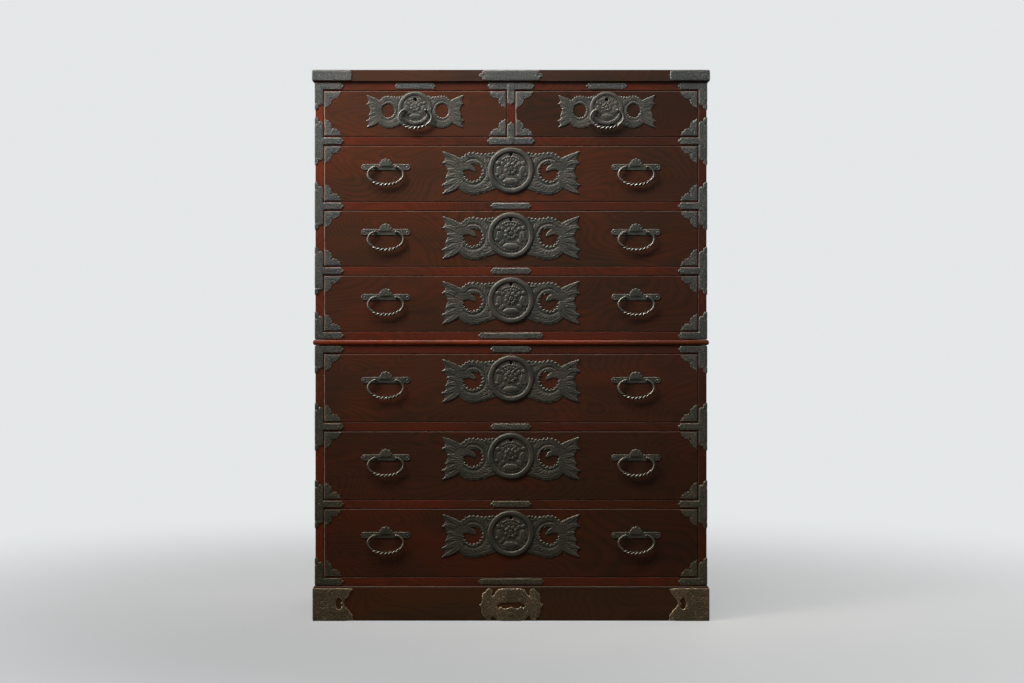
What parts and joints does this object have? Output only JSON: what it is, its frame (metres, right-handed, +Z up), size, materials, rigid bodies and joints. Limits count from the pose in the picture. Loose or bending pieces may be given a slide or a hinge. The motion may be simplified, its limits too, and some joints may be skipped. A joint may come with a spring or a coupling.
{
  "type": "clothing chest of drawers",
  "caption": "Two-part stacking clothing chest on a plinth, with wide drawers, pierced iron lock plates, hanging bail handles and iron corner fittings.",
  "frame": {"origin": "centre of the footprint, on the floor; the middle of the whole depth from the bails to the back", "axes": "+Z up, +Y towards the back, so the drawers open towards -Y; +X to the right seen from the front"},
  "size_m": [1.0772, 0.4658, 1.492],
  "materials": {
    "plinth_wood": "dark brown lacquered wood, satin",
    "case_wood": "red-brown lacquered softwood, satin",
    "shelf_wood": "red-brown lacquered rails, plain wood behind",
    "waist_wood": "bright red-brown lacquered moulding",
    "top_wood": "red-brown lacquered softwood, satin",
    "front_wood": "figured hardwood under translucent dark red-brown lacquer",
    "tray_wood": "plain pale softwood, unfinished",
    "lock_iron": "hammered and chased iron, dark grey-green",
    "bolt_iron": "filed iron, dull",
    "bail_iron": "forged iron, worn along its edges",
    "fitting_iron": "engraved sheet iron, dark grey-green"
  },
  "bodies": {
    "lower_case": {"base_centre_iron": "fitting_iron", "base_left_corner_iron": "fitting_iron", "base_plinth": "plinth_wood", "base_right_corner_iron": "fitting_iron", "lower_left_side": "case_wood", "lower_right_side": "case_wood", "lower_shelf_frame": "shelf_wood", "waist_board": "waist_wood"},
    "upper_case": {"upper_left_side": "case_wood", "upper_right_side": "case_wood", "upper_shelf_frame": "shelf_wood", "centre_partition": "case_wood", "top_board": "top_wood"},
    "small_left_drawer": {"small_left_front": "front_wood", "small_left_tray": "tray_wood", "small_left_lock": "lock_iron"},
    "small_left_bolt": {"small_left_bolt": "bolt_iron"},
    "small_left_bail": {"small_left_bail": "bail_iron"},
    "small_right_drawer": {"small_right_front": "front_wood", "small_right_tray": "tray_wood", "small_right_lock": "lock_iron"},
    "small_right_bolt": {"small_right_bolt": "bolt_iron"},
    "small_right_bail": {"small_right_bail": "bail_iron"},
    "upper_1_drawer": {"upper_1_front": "front_wood", "upper_1_tray": "tray_wood", "upper_1_lock": "lock_iron"},
    "upper_1_bolt": {"upper_1_bolt": "bolt_iron"},
    "upper_1_bail_left": {"upper_1_bail_left": "bail_iron"},
    "upper_1_bail_right": {"upper_1_bail_right": "bail_iron"},
    "upper_2_drawer": {"upper_2_front": "front_wood", "upper_2_tray": "tray_wood", "upper_2_lock": "lock_iron"},
    "upper_2_bolt": {"upper_2_bolt": "bolt_iron"},
    "upper_2_bail_left": {"upper_2_bail_left": "bail_iron"},
    "upper_2_bail_right": {"upper_2_bail_right": "bail_iron"},
    "upper_3_drawer": {"upper_3_front": "front_wood", "upper_3_tray": "tray_wood", "upper_3_lock": "lock_iron"},
    "upper_3_bolt": {"upper_3_bolt": "bolt_iron"},
    "upper_3_bail_left": {"upper_3_bail_left": "bail_iron"},
    "upper_3_bail_right": {"upper_3_bail_right": "bail_iron"},
    "lower_1_drawer": {"lower_1_front": "front_wood", "lower_1_tray": "tray_wood", "lower_1_lock": "lock_iron"},
    "lower_1_bolt": {"lower_1_bolt": "bolt_iron"},
    "lower_1_bail_left": {"lower_1_bail_left": "bail_iron"},
    "lower_1_bail_right": {"lower_1_bail_right": "bail_iron"},
    "lower_2_drawer": {"lower_2_front": "front_wood", "lower_2_tray": "tray_wood", "lower_2_lock": "lock_iron"},
    "lower_2_bolt": {"lower_2_bolt": "bolt_iron"},
    "lower_2_bail_left": {"lower_2_bail_left": "bail_iron"},
    "lower_2_bail_right": {"lower_2_bail_right": "bail_iron"},
    "lower_3_drawer": {"lower_3_front": "front_wood", "lower_3_tray": "tray_wood", "lower_3_lock": "lock_iron"},
    "lower_3_bolt": {"lower_3_bolt": "bolt_iron"},
    "lower_3_bail_left": {"lower_3_bail_left": "bail_iron"},
    "lower_3_bail_right": {"lower_3_bail_right": "bail_iron"}
  },
  "joints": [
    {"name": "upper_case_lift", "type": "slide", "parent": "lower_case", "child": "upper_case", "axis": [0, 0, 1], "range_m": [0, 0.08]},
    {"name": "small_left_drawer_slide", "type": "slide", "parent": "upper_case", "child": "small_left_drawer", "axis": [0, -1, 0], "range_m": [0, 0.36]},
    {"name": "small_left_bolt_slide", "type": "slide", "parent": "small_left_drawer", "child": "small_left_bolt", "axis": [0, 0, 1], "range_m": [0, 0.008]},
    {"name": "small_left_bail_hinge", "type": "hinge", "parent": "small_left_drawer", "child": "small_left_bail", "pos_m": [-0.2595, -0.2281, 1.382], "axis": [-1, 0, 0], "range_deg": [0, 170]},
    {"name": "small_right_drawer_slide", "type": "slide", "parent": "upper_case", "child": "small_right_drawer", "axis": [0, -1, 0], "range_m": [0, 0.36]},
    {"name": "small_right_bolt_slide", "type": "slide", "parent": "small_right_drawer", "child": "small_right_bolt", "axis": [0, 0, 1], "range_m": [0, 0.008]},
    {"name": "small_right_bail_hinge", "type": "hinge", "parent": "small_right_drawer", "child": "small_right_bail", "pos_m": [0.2595, -0.2281, 1.382], "axis": [-1, 0, 0], "range_deg": [0, 170]},
    {"name": "upper_1_drawer_slide", "type": "slide", "parent": "upper_case", "child": "upper_1_drawer", "axis": [0, -1, 0], "range_m": [0, 0.36]},
    {"name": "upper_1_bolt_slide", "type": "slide", "parent": "upper_1_drawer", "child": "upper_1_bolt", "axis": [0, 0, 1], "range_m": [0, 0.008]},
    {"name": "upper_1_bail_left_hinge", "type": "hinge", "parent": "upper_1_drawer", "child": "upper_1_bail_left", "pos_m": [-0.339, -0.2281, 1.22835], "axis": [-1, 0, 0], "range_deg": [0, 170]},
    {"name": "upper_1_bail_right_hinge", "type": "hinge", "parent": "upper_1_drawer", "child": "upper_1_bail_right", "pos_m": [0.339, -0.2281, 1.22835], "axis": [-1, 0, 0], "range_deg": [0, 170]},
    {"name": "upper_2_drawer_slide", "type": "slide", "parent": "upper_case", "child": "upper_2_drawer", "axis": [0, -1, 0], "range_m": [0, 0.36]},
    {"name": "upper_2_bolt_slide", "type": "slide", "parent": "upper_2_drawer", "child": "upper_2_bolt", "axis": [0, 0, 1], "range_m": [0, 0.008]},
    {"name": "upper_2_bail_left_hinge", "type": "hinge", "parent": "upper_2_drawer", "child": "upper_2_bail_left", "pos_m": [-0.339, -0.2281, 1.05235], "axis": [-1, 0, 0], "range_deg": [0, 170]},
    {"name": "upper_2_bail_right_hinge", "type": "hinge", "parent": "upper_2_drawer", "child": "upper_2_bail_right", "pos_m": [0.339, -0.2281, 1.05235], "axis": [-1, 0, 0], "range_deg": [0, 170]},
    {"name": "upper_3_drawer_slide", "type": "slide", "parent": "upper_case", "child": "upper_3_drawer", "axis": [0, -1, 0], "range_m": [0, 0.36]},
    {"name": "upper_3_bolt_slide", "type": "slide", "parent": "upper_3_drawer", "child": "upper_3_bolt", "axis": [0, 0, 1], "range_m": [0, 0.008]},
    {"name": "upper_3_bail_left_hinge", "type": "hinge", "parent": "upper_3_drawer", "child": "upper_3_bail_left", "pos_m": [-0.339, -0.2281, 0.87635], "axis": [-1, 0, 0], "range_deg": [0, 170]},
    {"name": "upper_3_bail_right_hinge", "type": "hinge", "parent": "upper_3_drawer", "child": "upper_3_bail_right", "pos_m": [0.339, -0.2281, 0.87635], "axis": [-1, 0, 0], "range_deg": [0, 170]},
    {"name": "lower_1_drawer_slide", "type": "slide", "parent": "lower_case", "child": "lower_1_drawer", "axis": [0, -1, 0], "range_m": [0, 0.36]},
    {"name": "lower_1_bolt_slide", "type": "slide", "parent": "lower_1_drawer", "child": "lower_1_bolt", "axis": [0, 0, 1], "range_m": [0, 0.008]},
    {"name": "lower_1_bail_left_hinge", "type": "hinge", "parent": "lower_1_drawer", "child": "lower_1_bail_left", "pos_m": [-0.339, -0.2281, 0.65137], "axis": [-1, 0, 0], "range_deg": [0, 170]},
    {"name": "lower_1_bail_right_hinge", "type": "hinge", "parent": "lower_1_drawer", "child": "lower_1_bail_right", "pos_m": [0.339, -0.2281, 0.65137], "axis": [-1, 0, 0], "range_deg": [0, 170]},
    {"name": "lower_2_drawer_slide", "type": "slide", "parent": "lower_case", "child": "lower_2_drawer", "axis": [0, -1, 0], "range_m": [0, 0.36]},
    {"name": "lower_2_bolt_slide", "type": "slide", "parent": "lower_2_drawer", "child": "lower_2_bolt", "axis": [0, 0, 1], "range_m": [0, 0.008]},
    {"name": "lower_2_bail_left_hinge", "type": "hinge", "parent": "lower_2_drawer", "child": "lower_2_bail_left", "pos_m": [-0.339, -0.2281, 0.44137], "axis": [-1, 0, 0], "range_deg": [0, 170]},
    {"name": "lower_2_bail_right_hinge", "type": "hinge", "parent": "lower_2_drawer", "child": "lower_2_bail_right", "pos_m": [0.339, -0.2281, 0.44137], "axis": [-1, 0, 0], "range_deg": [0, 170]},
    {"name": "lower_3_drawer_slide", "type": "slide", "parent": "lower_case", "child": "lower_3_drawer", "axis": [0, -1, 0], "range_m": [0, 0.36]},
    {"name": "lower_3_bolt_slide", "type": "slide", "parent": "lower_3_drawer", "child": "lower_3_bolt", "axis": [0, 0, 1], "range_m": [0, 0.008]},
    {"name": "lower_3_bail_left_hinge", "type": "hinge", "parent": "lower_3_drawer", "child": "lower_3_bail_left", "pos_m": [-0.339, -0.2281, 0.23137], "axis": [-1, 0, 0], "range_deg": [0, 170]},
    {"name": "lower_3_bail_right_hinge", "type": "hinge", "parent": "lower_3_drawer", "child": "lower_3_bail_right", "pos_m": [0.339, -0.2281, 0.23137], "axis": [-1, 0, 0], "range_deg": [0, 170]}
  ]
}
